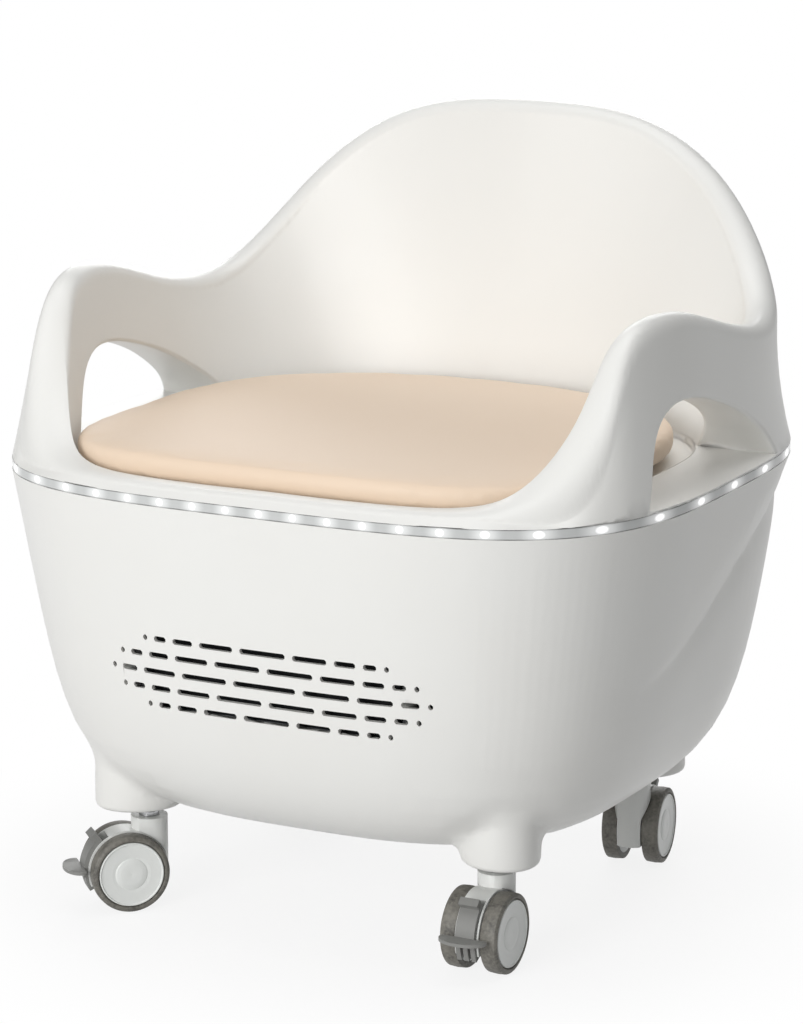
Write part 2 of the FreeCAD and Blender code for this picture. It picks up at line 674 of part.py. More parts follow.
def on_panel(size, x, low, up=0.0):
    """Box of a size (x, depth, z) on the rear panel, its inner end at a depth from the panel's floor."""
    return box(size, (x, PANEL_FLOOR_Y + low + size[1] / 2, PANEL_Z + up))


def inlet():
    """Mains inlet in the rear recess: flange, body through the panel, socket and three blades."""
    flange = on_panel(INLET_FLANGE, INLET_X, 0)
    body = on_panel(INLET_BODY, INLET_X, -INLET_BODY[1])
    socket = on_panel(INLET_SOCKET, INLET_X, INLET_FLANGE[1] - INLET_SOCKET[1])
    blades = [on_panel(INLET_BLADE, INLET_X + x, INLET_FLANGE[1] - INLET_SOCKET[1] - 0.5, z)
              for x, z in INLET_BLADE_PLACES]
    return flange.fuse(body).cut(socket).multiFuse(blades)


def rocker_switch():
    """Bezel and body in the rear recess, and the key that rocks in it about a cross pin."""
    bezel = on_panel(SWITCH_BEZEL, SWITCH_X, 0)
    body = on_panel((SWITCH_BODY[0], SWITCH_BODY[1] - 2, SWITCH_BODY[2]), SWITCH_X, 2 - SWITCH_BODY[1])
    well = on_panel(SWITCH_WELL, SWITCH_X, SWITCH_BEZEL[1] + 2 - SWITCH_WELL[1])
    pin_y = PANEL_FLOOR_Y - KEY_PIN_DEPTH
    corners = [FreeCAD.Vector(SWITCH_X - KEY_WIDTH / 2, pin_y + y, PANEL_Z + z) for y, z in KEY_OUTLINE]
    key = Part.Face(Part.makePolygon(corners + corners[:1])).extrude(ALONG_X * KEY_WIDTH)
    radius, length = KEY_PIN
    pin = cylinder(radius, length, (SWITCH_X - length / 2, pin_y, PANEL_Z), ALONG_X)
    hole = cylinder(radius + RUNNING_GAP, length + 0.2, (SWITCH_X - length / 2 - 0.1, pin_y, PANEL_Z), ALONG_X)
    return bezel.fuse(body).cut([well, hole]), key.fuse(pin)


# Casters
def wheel_arches(radius, inner_x):
    """Room for both wheels, as discs outside a distance from the caster's middle."""
    return [cylinder(radius, 40, (side * inner_x, -TRAIL, WHEEL_RADIUS), ALONG_X * side) for side in (-1, 1)]


def pedal_sector(inner, outer, turns, width):
    """Part of a ring round the axle between two angles, standing across X."""
    first, last = turns
    reach = 2 * outer
    wedge = [(-TRAIL, WHEEL_RADIUS)]
    for i in range(7):
        angle = math.radians(first + (last - first) * i / 6)
        wedge.append((-TRAIL + reach * math.cos(angle), WHEEL_RADIUS + reach * math.sin(angle)))
    disc = cylinder(outer, width, (-width / 2, -TRAIL, WHEEL_RADIUS), ALONG_X)
    if inner:
        disc = disc.cut(cylinder(inner, width, (-width / 2, -TRAIL, WHEEL_RADIUS), ALONG_X))
    return disc.common(side_plate(wedge, width))


def caster_housing():
    """Swivel hub and the hooded plate between the wheels, open at the back for the brake pedal."""
    hub = cylinder(SWIVEL_RADIUS, SWIVEL_TOP - HOUSING_LOW, (0, 0, HOUSING_LOW), UP)
    hood = cylinder(HOOD_RADIUS, HOUSING_WIDTH, (-HOUSING_WIDTH / 2, -TRAIL, WHEEL_RADIUS), ALONG_X)
    body = hub.fuse(hood).cut(wheel_arches(WHEEL_RADIUS + TREAD_GAP, HOUSING_WIDTH / 2))
    pocket = pedal_sector(PEDAL_INNER - 8.5, 60, PEDAL_POCKET, PEDAL_WIDTH + 0.8)
    underside = box((60, 120, 40), (0, 0, HOUSING_LOW - 20))
    arch = cylinder(20, 60, (-30, -TRAIL + 8, HOUSING_LOW - 13), ALONG_X)
    stem = cylinder(STEM_RADIUS + RUNNING_GAP, 60, (0, 0, STEM_LOW), UP)
    axle = cylinder(AXLE_RADIUS, 60, (-30, -TRAIL, WHEEL_RADIUS), ALONG_X)
    pin = cylinder(PIN_RADIUS + RUNNING_GAP, 60, (-30, PIN_Y, PIN_Z), ALONG_X)
    return body.cut([pocket, underside, arch, stem, axle, pin])


def brake_pedal():
    """Rocking brake: release tab on top, curved cover, oval foot plate and ribs below."""
    cover = pedal_sector(PEDAL_INNER, PEDAL_OUTER, PEDAL_COVER, PEDAL_WIDTH)
    ribs = []
    for side in (-1, 0, 1):
        rib = pedal_sector(PEDAL_INNER, PEDAL_OUTER - 1.5, PEDAL_RIBS, RIB_WIDTH)
        rib.translate(ALONG_X * side * (PEDAL_WIDTH - RIB_WIDTH) / 2)
        ribs.append(rib)
    web = pedal_sector(PEDAL_INNER, PEDAL_INNER + 5, (PEDAL_RIBS[0], PEDAL_RIBS[1] - 2), PEDAL_WIDTH)
    tab = pedal_sector(PEDAL_OUTER - 4, PEDAL_OUTER + 7, PEDAL_TAB, PEDAL_WIDTH)
    middle = FreeCAD.Vector(0, -TRAIL - PADDLE_REACH, WHEEL_RADIUS + 2)
    oval = Part.Ellipse(middle, PADDLE_HALF_WIDTH, PADDLE_HALF_DEPTH).toShape()
    paddle = Part.Face(Part.Wire([oval])).extrude(UP * PADDLE_THICKNESS)
    paddle = paddle.cut(wheel_arches(WHEEL_RADIUS + 5, PEDAL_WIDTH / 2))
    boss = cylinder(PIN_RADIUS + 2.6, PEDAL_WIDTH, (-PEDAL_WIDTH / 2, PIN_Y, PIN_Z), ALONG_X)
    pin = cylinder(PIN_RADIUS, HOUSING_WIDTH, (-HOUSING_WIDTH / 2, PIN_Y, PIN_Z), ALONG_X)
    return cover.multiFuse(ribs + [web, tab, paddle, boss, pin])


def turned(profile, side):
    """Wheel part turned about the axle from a profile (distance from the middle, radius)."""
    corners = [FreeCAD.Vector(side * x, -TRAIL, WHEEL_RADIUS + r) for x, r in profile]
    face = Part.Face(Part.makePolygon(corners + corners[:1]))
    return face.revolve(FreeCAD.Vector(0, -TRAIL, WHEEL_RADIUS), ALONG_X, 360)


def tyre(side):
    near, far = WHEEL_GAP / 2, WHEEL_GAP / 2 + WHEEL_WIDTH
    return turned([(near, HUB_RADIUS), (near, WHEEL_RADIUS), (far - 2.5, WHEEL_RADIUS), (far, HUB_RADIUS + 1.5),
                   (far, HUB_RADIUS)], side)


def wheel_hub(side):
    near, far = WHEEL_GAP / 2, WHEEL_GAP / 2 + WHEEL_WIDTH
    bore = AXLE_RADIUS + RUNNING_GAP
    return turned([(near, bore), (near, HUB_RADIUS), (far - 0.6, HUB_RADIUS), (far - 0.6, 0), (far - 2.4, 0),
                   (far - 2.4, bore)], side)


def caster_parts():
    """The moving pieces of one caster, about its own stem."""
    half_axle = WHEEL_GAP / 2 + WHEEL_WIDTH - 3
    axle = cylinder(AXLE_RADIUS, 2 * half_axle, (-half_axle, -TRAIL, WHEEL_RADIUS), ALONG_X)
    return {"housing": caster_housing(), "axle": axle, "brake_pedal": brake_pedal(),
            "left_hub": wheel_hub(-1), "left_tyre": tyre(-1), "right_hub": wheel_hub(1), "right_tyre": tyre(1)}


def fixed_caster_parts():
    """Stems, their sockets in the legs, and a bearing cup and a collar on each stem, between leg and hub."""
    sockets, stems, cups = [], [], []
    for x, y, _ in CASTERS.values():
        stem = cylinder(STEM_RADIUS, SOCKET_TOP - 4 - STEM_LOW - 2, (x, y, STEM_LOW + 2), UP)
        socket = cylinder(SOCKET_RADIUS, SOCKET_TOP - LEG_BOTTOM, (x, y, LEG_BOTTOM), UP)
        cup = cylinder(BEARING[0], BEARING[1], (x, y, SWIVEL_TOP + 0.3), UP)
        collar = cylinder(COLLAR[0], COLLAR[1], (x, y, LEG_BOTTOM - COLLAR[1]), UP)
        sockets.append(socket.cut(stem))
        stems.append(stem)
        cups += [cup.cut(stem), collar.cut(stem)]
    return Part.makeCompound(sockets), Part.makeCompound(stems), Part.makeCompound(cups)


def main():
    os.makedirs("parts", exist_ok=True)
    nodes = {"tub_shell": tub_shell(), "upper_shell": upper_shell()}
    nodes["light_diffuser"], nodes["light_strip_board"], nodes["light_emitters"] = light_parts()
    nodes["seat_cushion"], nodes["cushion_board"], nodes["cushion_feet"] = cushion_parts()
    nodes.update(zip(["dust_screen", "vent_plate", "fan_frame", "fan_rotor", "fan_screws"], vent_parts()))
    nodes.update(zip(["power_supply", "control_board", "board_posts"], supply_parts()))
    nodes["power_inlet"] = inlet()
    nodes["switch_body"], nodes["switch_key"] = rocker_switch()
    nodes["shell_screws"] = Part.makeCompound(rim_screws(SCREW_RADIUS, True))
    nodes.update(zip(["stem_sockets", "caster_stems", "bearing_cups"], fixed_caster_parts()))
    pieces = caster_parts()
    for corner, (x, y, heading) in CASTERS.items():
        for piece, shape in pieces.items():
            placed = shape.copy()
            placed.rotate(FreeCAD.Vector(0, 0, 0), UP, heading)
            placed.translate(FreeCAD.Vector(x, y, 0))
            nodes[corner + "_" + piece] = placed
    for name, shape in nodes.items():
        save(name, shape)


main()
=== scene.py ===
"""Looks of a rolling tub armchair with a lit rim, built round its packed construction model."""

import logging
import math
from dataclasses import dataclass, field
from enum import Enum
from typing import Any

import bmesh
import bpy
from mathutils import Matrix, Vector
from mathutils.kdtree import KDTree

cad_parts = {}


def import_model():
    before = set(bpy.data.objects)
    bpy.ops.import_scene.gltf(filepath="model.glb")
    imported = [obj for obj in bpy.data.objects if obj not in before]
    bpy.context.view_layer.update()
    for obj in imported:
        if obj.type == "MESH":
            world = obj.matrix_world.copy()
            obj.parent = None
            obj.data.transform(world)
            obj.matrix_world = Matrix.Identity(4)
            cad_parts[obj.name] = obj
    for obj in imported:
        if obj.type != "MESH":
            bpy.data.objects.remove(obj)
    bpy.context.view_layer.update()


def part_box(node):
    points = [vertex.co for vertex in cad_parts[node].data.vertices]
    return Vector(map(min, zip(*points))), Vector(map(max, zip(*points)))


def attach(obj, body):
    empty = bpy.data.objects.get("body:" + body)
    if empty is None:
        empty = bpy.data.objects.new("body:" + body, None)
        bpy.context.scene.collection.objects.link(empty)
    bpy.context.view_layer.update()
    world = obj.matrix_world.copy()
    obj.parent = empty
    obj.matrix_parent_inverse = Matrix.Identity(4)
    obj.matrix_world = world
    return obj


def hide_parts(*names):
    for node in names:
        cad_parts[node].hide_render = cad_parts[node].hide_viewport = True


LOG = logging.getLogger("armchair")
MM = 0.001
WELD = 2e-6
SLIVER = 1e-7
TOUCH = 1e-6
WHITE = (1.0, 1.0, 1.0, 1.0)

BMesh = bmesh.types.BMesh
BMVert = bmesh.types.BMVert
Outline = list[tuple[float, float]]


# Shader nodes


def linear(colour: str) -> tuple[float, float, float, float]:
    """Turn an sRGB hex colour into linear light.

    Args:
        colour: Six hex digits after a hash sign.

    Returns:
        Red, green and blue in linear light, and an alpha of 1.
    """
    parts = [int(colour[i:i + 2], 16) / 255 for i in (1, 3, 5)]
    light = [c / 12.92 if c <= 0.04045 else ((c + 0.055) / 1.055) ** 2.4 for c in parts]
    return light[0], light[1], light[2], 1.0


def add_node(tree: bpy.types.NodeTree, kind: str, settings: dict[str, Any] | None = None,
             inputs: dict[Any, Any] | None = None) -> bpy.types.Node:
    """Add one shader node with its settings, values and links.

    Args:
        tree: Node tree that gets the node.
        kind: Node type without the ShaderNode prefix.
        settings: Attributes of the node by name.
        inputs: For each input's name or index, a socket to link from or a value to set.

    Returns:
        The new node.
    """
    node = tree.nodes.new("ShaderNode" + kind)
    for name, value in (settings or {}).items():
        setattr(node, name, value)
    for name, value in (inputs or {}).items():
        if isinstance(value, bpy.types.NodeSocket):
            tree.links.new(value, node.inputs[name])
        else:
            node.inputs[name].default_value = value
    return node


def compute(tree: bpy.types.NodeTree, operation: str, *values: Any) -> bpy.types.NodeSocket:
    """Add a maths node.

    Args:
        tree: Node tree that gets the node.
        operation: Blender's name of the operation.
        values: Sockets or numbers to work on.

    Returns:
        The result.
    """
    return add_node(tree, "Math", {"operation": operation}, dict(enumerate(values))).outputs[0]


def ramp(tree: bpy.types.NodeTree, value: bpy.types.NodeSocket, start: float, stop: float,
         first: float = 0.0, last: float = 1.0, smooth: bool = False) -> bpy.types.NodeSocket:
    """Map one range onto another, held at its ends.

    Args:
        tree: Node tree that gets the node.
        value: What is mapped.
        start: Value that gives the first result.
        stop: Value that gives the last result.
        first: Result at the start.
        last: Result at the stop.
        smooth: Whether the result eases in and out.

    Returns:
        The result.
    """
    kind = {"interpolation_type": "SMOOTHSTEP"} if smooth else None
    return add_node(tree, "MapRange", kind, {0: value, 1: start, 2: stop, 3: first, 4: last}).outputs[0]


def noise(tree: bpy.types.NodeTree, place: bpy.types.NodeSocket, scale: float,
          detail: float) -> bpy.types.Node:
    """Add a noise texture.

    Args:
        tree: Node tree that gets the node.
        place: Where the texture is read.
        scale: Features per metre.
        detail: Octaves on top of the first one.

    Returns:
        The texture's node, with its value in the first output.
    """
    return add_node(tree, "TexNoise", inputs={"Vector": place, "Scale": scale, "Detail": detail})


def bump(tree: bpy.types.NodeTree, height: bpy.types.NodeSocket, strength: float,
         distance: float) -> bpy.types.NodeSocket:
    """Add a bump.

    Args:
        tree: Node tree that gets the node.
        height: Relief, from 0 to 1.
        strength: Share of the relief that shows.
        distance: Height of the relief in metres.

    Returns:
        The bent normal.
    """
    return add_node(tree, "Bump", inputs={"Height": height, "Strength": strength,
                                          "Distance": distance}).outputs[0]


def blend(tree: bpy.types.NodeTree, share: bpy.types.NodeSocket, first: tuple[float, ...],
          second: tuple[float, ...]) -> bpy.types.NodeSocket:
    """Mix two colours.

    Args:
        tree: Node tree that gets the node.
        share: Share of the second colour.
        first: First colour in linear light.
        second: Second colour in linear light.

    Returns:
        The mixed colour.
    """
    return add_node(tree, "Mix", {"data_type": "RGBA"}, {0: share, 6: first, 7: second}).outputs[2]


def seen_by(tree: bpy.types.NodeTree, *rays: str) -> bpy.types.NodeSocket:
    """Tell some kinds of rays from the rest.

    Args:
        tree: Node tree that gets the nodes.
        rays: Names of the light path's outputs.

    Returns:
        1 for rays of these kinds and 0 for others.
    """
    paths = add_node(tree, "LightPath")
    seen = paths.outputs[rays[0]]
    for ray in rays[1:]:
        seen = compute(tree, "MAXIMUM", seen, paths.outputs[ray])
    return seen


# Shapes


def superellipse(half_width: float, half_depth: float, exponent: float, angle: float) -> tuple[float, float]:
    """Point of a superellipse in a plan direction.

    Args:
        half_width: Half size along X.
        half_depth: Half size along Y.
        exponent: How square the outline is; 2 is an ellipse.
        angle: Plan direction in radians, from +X towards +Y.

    Returns:
        The point's x and y.
    """
    c, s = math.cos(angle), math.sin(angle)
    radius = ((abs(c) / half_width) ** exponent + (abs(s) / half_depth) ** exponent) ** (-1 / exponent)
    return radius * c, radius * s


def along_stations(stations: dict[float, float], at: float) -> float:
    """Value of a station table at a position, with level tangents at each end and eased steps between.

    Args:
        stations: Values by position, in rising order.
        at: Position; past either end the end's value holds.

    Returns:
        The value on cubic curves that pass every station.
    """
    keys = list(stations)
    at = min(max(at, keys[0]), keys[-1])
    index = next(i for i in range(len(keys) - 1) if at <= keys[i + 1])
    slopes = [0.0]
    for before, here, after in zip(keys, keys[1:], keys[2:]):
        slopes.append((stations[after] - stations[before]) / (after - before))
    slopes.append(0.0)
    low, high = keys[index], keys[index + 1]
    span, rise = high - low, stations[high] - stations[low]
    share = (at - low) / span
    first, last = slopes[index] * span, slopes[index + 1] * span
    return (stations[low] + first * share + (3 * rise - 2 * first - last) * share ** 2
            + (first + last - 2 * rise) * share ** 3)


def merged(node: str) -> BMesh:
    """Copy a node's mesh with its loose triangles joined, so that it can shade smoothly.

    Args:
        node: Name of the node.

    Returns:
        The joined mesh.
    """
    bm = bmesh.new()
    bm.from_mesh(bpy.data.objects[node].data)
    bmesh.ops.remove_doubles(bm, verts=bm.verts, dist=WELD)
    bmesh.ops.dissolve_degenerate(bm, edges=bm.edges, dist=SLIVER)
    return bm


def lift(bm: BMesh, geometry: list[Any], height: float) -> None:
    """Move the vertices of some geometry upwards.

    Args:
        bm: Mesh that has them.
        geometry: Vertices, edges and faces, as an extrusion gives them.
        height: How far they move, in metres.
    """
    verts = [item for item in geometry if isinstance(item, BMVert)]
    bmesh.ops.translate(bm, verts=verts, vec=(0, 0, height))


def finish_mesh(bm: BMesh, name: str, material: bpy.types.Material,
                sharp_above: float = 35.0) -> bpy.types.Object:
    """Turn a bmesh into a smooth-shaded object at the origin.

    Args:
        bm: Finished geometry in the row frame; it is freed.
        name: Name of the piece.
        material: Its only material.
        sharp_above: Edges that turn more than this many degrees stay sharp.

    Returns:
        The new object.
    """
    mesh = bpy.data.meshes.new(name)
    bm.to_mesh(mesh)
    bm.free()
    mesh.polygons.foreach_set("use_smooth", [True] * len(mesh.polygons))
    mesh.set_sharp_from_angle(angle=math.radians(sharp_above))
    mesh.materials.append(material)
    piece = bpy.data.objects.new(name, mesh)
    bpy.context.scene.collection.objects.link(piece)
    return piece


def round_edges(piece: bpy.types.Object, width: float) -> None:
    """Break a piece's sharp edges with a small bevel.

    Args:
        piece: Object to finish.
        width: Bevel width in metres.
    """
    bevel = piece.modifiers.new("EdgeBreak", "BEVEL")
    bevel.width = width
    bevel.segments = 2
    bevel.limit_method = "ANGLE"
    bevel.angle_limit = math.radians(40.0)
    bevel.use_clamp_overlap = True
    bevel.harden_normals = True


def stand_for(piece: bpy.types.Object, body: str, node: str) -> None:
    """Let a piece ride on a body and stand for a node of the construction model.

    Args:
        piece: Finished object.
        body: Body that carries it.
        node: Node that it replaces.
    """
    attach(piece, body)
    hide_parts(node)
    LOG.info("made %s on %s", piece.name, body)


def look_from(thing: bpy.types.Object, place: tuple[float, float, float],
              target: tuple[float, float, float]) -> None:
    """Stand a camera or lamp somewhere, facing a target, and add it to the scene.

    Args:
        thing: Camera or lamp.
        place: Where it stands, in metres.
        target: Where it looks, in metres.
    """
    thing.location = place
    look = Vector(target) - Vector(place)
    thing.rotation_euler = look.to_track_quat("-Z", "Y").to_euler()
    bpy.context.scene.collection.objects.link(thing)


# Finishes


class Tone(Enum):
    """Colours of the chair, as sRGB."""

    SHELL = "#EDEDEA"
    SHELL_WARM = "#EAE9E5"
    CUSHION = "#EAD5BE"
    CUSHION_DEEP = "#E6CFB7"
    TREAD = "#85827A"
    TREAD_DARK = "#56544F"
    HUB = "#EDEFEC"
    HOUSING = "#E6E7E4"
    PEDAL = "#90908D"
    PEDAL_DARK = "#7C7C79"
    BAND = "#C9CBCA"
    BLACK = "#17181A"
    SCREEN = "#232427"
    STEEL = "#BFC0C2"
    ZINC = "#A9ABAD"
    BOARD = "#3F6B4A"
    PLYWOOD = "#B99468"
    NYLON_GREY = "#55575A"
    GREY_COAT = "#9A9C9E"

    @property
    def light(self) -> tuple[float, float, float, float]:
        """The colour in linear light."""
        return linear(self.value)


@dataclass(frozen=True)
class Finish:
    """A surface finish; each kind feeds the same shader in its own way."""

    name: str

    def make(self) -> bpy.types.Material:
        """Build the material.

        Returns:
            A material whose surface is the shader that this finish feeds.
        """
        material = bpy.data.materials.new(self.name)
        material.use_nodes = True
        tree = material.node_tree
        tree.nodes.clear()
        surface = add_node(tree, "BsdfPrincipled", inputs=self.feed(tree))
        add_node(tree, "OutputMaterial", inputs={"Surface": surface.outputs[0]})
        return material

    def feed(self, tree: bpy.types.NodeTree) -> dict[str, Any]:
        """Give the shader's inputs by name, each a value or a socket of the tree."""
        raise NotImplementedError

    @staticmethod
    def place(tree: bpy.types.NodeTree) -> bpy.types.NodeSocket:
        """Give the place on the object, in metres."""
        return add_node(tree, "TexCoord").outputs["Object"]


@dataclass(frozen=True)
class MouldedFinish(Finish):
    """Moulded plastic: a satin skin with faint orange peel and slow drifts in tone."""

    tone: Tone
    second_tone: Tone
    roughness: float = 0.36
    ior: float = 1.49
    peel_mm: float = 2.2
    peel_height_mm: float = 0.012
    glow: float = 0.0
    drift_scale: float = 7.0
    gloss_drift: float = 0.03
    peel_strength: float = 0.35

    def feed(self, tree: bpy.types.NodeTree) -> dict[str, Any]:
        """Let tone and gloss drift, with the peel as a bump.

        Args:
            tree: The material's node tree.

        Returns:
            The shader's inputs.
        """
        place = self.place(tree)
        drift = noise(tree, place, self.drift_scale, 2.0).outputs[0]
        peel = noise(tree, place, 1 / (self.peel_mm * MM), 1.0).outputs[0]
        return {"Base Color": blend(tree, drift, self.tone.light, self.second_tone.light),
                "Roughness": ramp(tree, drift, 0.0, 1.0, self.roughness - self.gloss_drift,
                                  self.roughness + self.gloss_drift),
                "IOR": self.ior,
                "Normal": bump(tree, peel, self.peel_strength, self.peel_height_mm * MM),
                "Emission Color": WHITE, "Emission Strength": self.glow}


@dataclass(frozen=True)
class LeatheretteFinish(Finish):
    """Coated fabric: soft sheen over a fine pebble grain, drawn a little coarse so that it shows."""

    name: str = "leatherette_beige"
    pebble_mm: float = 1.5
    pebble_height_mm: float = 0.06
    roughness: float = 0.5
    furrow_roughness: float = 0.1
    warp_scale: float = 260.0
    warp_mm: float = 1.2
    furrow: float = 0.16

    def feed(self, tree: bpy.types.NodeTree) -> dict[str, Any]:
        """Draw warped cells as pebbles, duller in the furrows between them.

        Args:
            tree: The material's node tree.

        Returns:
            The shader's inputs.
        """
        place = self.place(tree)
        drift = noise(tree, place, 5.0, 3.0).outputs[0]
        warp = noise(tree, place, self.warp_scale, 1.0).outputs["Color"]
        shift = add_node(tree, "VectorMath", {"operation": "SCALE"}, {0: warp, "Scale": self.warp_mm * MM})
        moved = add_node(tree, "VectorMath", {"operation": "ADD"}, {0: place, 1: shift.outputs[0]})
        cells = add_node(tree, "TexVoronoi", {"feature": "DISTANCE_TO_EDGE"},
                         {"Vector": moved.outputs[0], "Scale": 1 / (self.pebble_mm * MM)})
        grain = ramp(tree, cells.outputs[0], 0.0, self.furrow)
        return {"Base Color": blend(tree, drift, Tone.CUSHION.light, Tone.CUSHION_DEEP.light),
                "Roughness": ramp(tree, grain, 0.0, 1.0, self.roughness + self.furrow_roughness,
                                  self.roughness),
                "IOR": 1.48, "Normal": bump(tree, grain, 0.3, self.pebble_height_mm * MM),
                "Sheen Weight": 0.15, "Sheen Roughness": 0.4}


@dataclass(frozen=True)
class TreadFinish(Finish):
    """Polyurethane tread: matt and slightly mottled. The plywood and the dust cloth use it too."""

    tone: Tone
    second_tone: Tone
    roughness: float = 0.55
    speck_mm: float = 3.0
    dirt_scale: float = 60.0
    least_dirt: float = 0.12
    most_dirt: float = 0.42
    speck_height_mm: float = 0.05

    def feed(self, tree: bpy.types.NodeTree) -> dict[str, Any]:
        """Mix two tones by fine specks that gather in patches.

        Args:
            tree: The material's node tree.

        Returns:
            The shader's inputs.
        """
        place = self.place(tree)
        specks = noise(tree, place, 1 / (self.speck_mm * MM), 4.0).outputs[0]
        dirt = noise(tree, place, self.dirt_scale, 2.0).outputs[0]
        share = ramp(tree, compute(tree, "MULTIPLY", specks, dirt), self.least_dirt, self.most_dirt)
        return {"Base Color": blend(tree, share, self.tone.light, self.second_tone.light),
                "Roughness": self.roughness, "IOR": 1.5,
                "Normal": bump(tree, specks, 0.4, self.speck_height_mm * MM)}


@dataclass(frozen=True)
class SteelFinish(Finish):
    """Turned or plated steel: fine rings from the tool, seen as a soft stretched gloss."""

    tone: Tone
    roughness: float = 0.28
    gloss_drift: float = 0.08
    ring_scale: float = 2600.0
    stretch: float = 0.05
    ring_height_mm: float = 0.02

    def feed(self, tree: bpy.types.NodeTree) -> dict[str, Any]:
        """Draw the rings as a noise that is stretched sideways.

        Args:
            tree: The material's node tree.

        Returns:
            The shader's inputs.
        """
        scale = (self.stretch, self.stretch, 1.0)
        squeezed = add_node(tree, "Mapping", inputs={"Vector": self.place(tree), "Scale": scale}).outputs[0]
        rings = noise(tree, squeezed, self.ring_scale, 2.0).outputs[0]
        return {"Base Color": self.tone.light, "Metallic": 1.0,
                "Roughness": ramp(tree, rings, 0.0, 1.0, self.roughness - self.gloss_drift,
                                  self.roughness + self.gloss_drift),
                "Normal": bump(tree, rings, 0.15, self.ring_height_mm * MM)}


@dataclass(frozen=True)
class BandFinish(Finish):
    """Clear extruded band lit from behind: a grey strip with a soft bright spot at each emitter.

    Shares are of the distance between two emitters, except for the edge's, which are of the band's height.
    """

    name: str = "clear_band_lit"
    spot_share: float = 0.165
    core_share: float = 0.1
    glow_share: float = 0.42
    glow_level: float = 0.3
    spot_strength: float = 1.15
    height_share: float = 0.28
    edge_from: float = 0.34
    edge_to: float = 0.47
    edge_shade: float = 0.5

    def feed(self, tree: bpy.types.NodeTree) -> dict[str, Any]:
        """Draw the spots by the band's own UV map, which runs one unit along per emitter.

        Args:
            tree: The material's node tree.

        Returns:
            The shader's inputs.
        """
        uv = add_node(tree, "UVMap", {"uv_map": "along"}).outputs[0]
        split = add_node(tree, "SeparateXYZ", inputs={0: uv})
        along = compute(tree, "SUBTRACT", compute(tree, "FRACT", split.outputs[0]), 0.5)
        across = compute(tree, "SUBTRACT", split.outputs[1], 0.5)
        offset = add_node(tree, "CombineXYZ",
                          inputs={0: along, 1: compute(tree, "MULTIPLY", across, self.height_share)})
        reach = add_node(tree, "VectorMath", {"operation": "LENGTH"}, {0: offset.outputs[0]}).outputs["Value"]
        spot = ramp(tree, reach, self.spot_share * self.core_share, self.spot_share, 1.0, 0.0, smooth=True)
        glow = ramp(tree, reach, 0.0, self.glow_share, self.glow_level, 0.0, smooth=True)
        light = compute(tree, "MULTIPLY", compute(tree, "MAXIMUM", spot, glow), self.spot_strength)
        edge = ramp(tree, compute(tree, "ABSOLUTE", across), self.edge_from, self.edge_to,
                    1.0, self.edge_shade, smooth=True)
        tone = add_node(tree, "VectorMath", {"operation": "SCALE"}, {0: Tone.BAND.light[:3], "Scale": edge})
        return {"Base Color": tone.outputs[0], "Roughness": 0.16, "IOR": 1.49,
                "Emission Color": WHITE, "Emission Strength": light}


# The chair


class Corner(Enum):
    """The four casters: body prefix, stem place in millimetres and heading in degrees."""

    FRONT_LEFT = ("front_left", -183.0, -176.0, -46.0)
    FRONT_RIGHT = ("front_right", 183.0, -176.0, 0.0)
    REAR_LEFT = ("rear_left", -183.0, 130.0, 165.0)
    REAR_RIGHT = ("rear_right", 183.0, 130.0, 187.5)

    @property
    def prefix(self) -> str:
        """Start of the names of this caster's bodies and nodes."""
        return self.value[0]

    @property
    def stem(self) -> tuple[float, float]:
        """Place of the stem in plan, in metres."""
        return self.value[1] * MM, self.value[2] * MM

    @property
    def place(self) -> Matrix:
        """Turn and move from the caster's own frame, about its stem, to the row frame."""
        turn = Matrix.Rotation(math.radians(self.value[3]), 4, "Z")
        return Matrix.Translation((*self.stem, 0)) @ turn


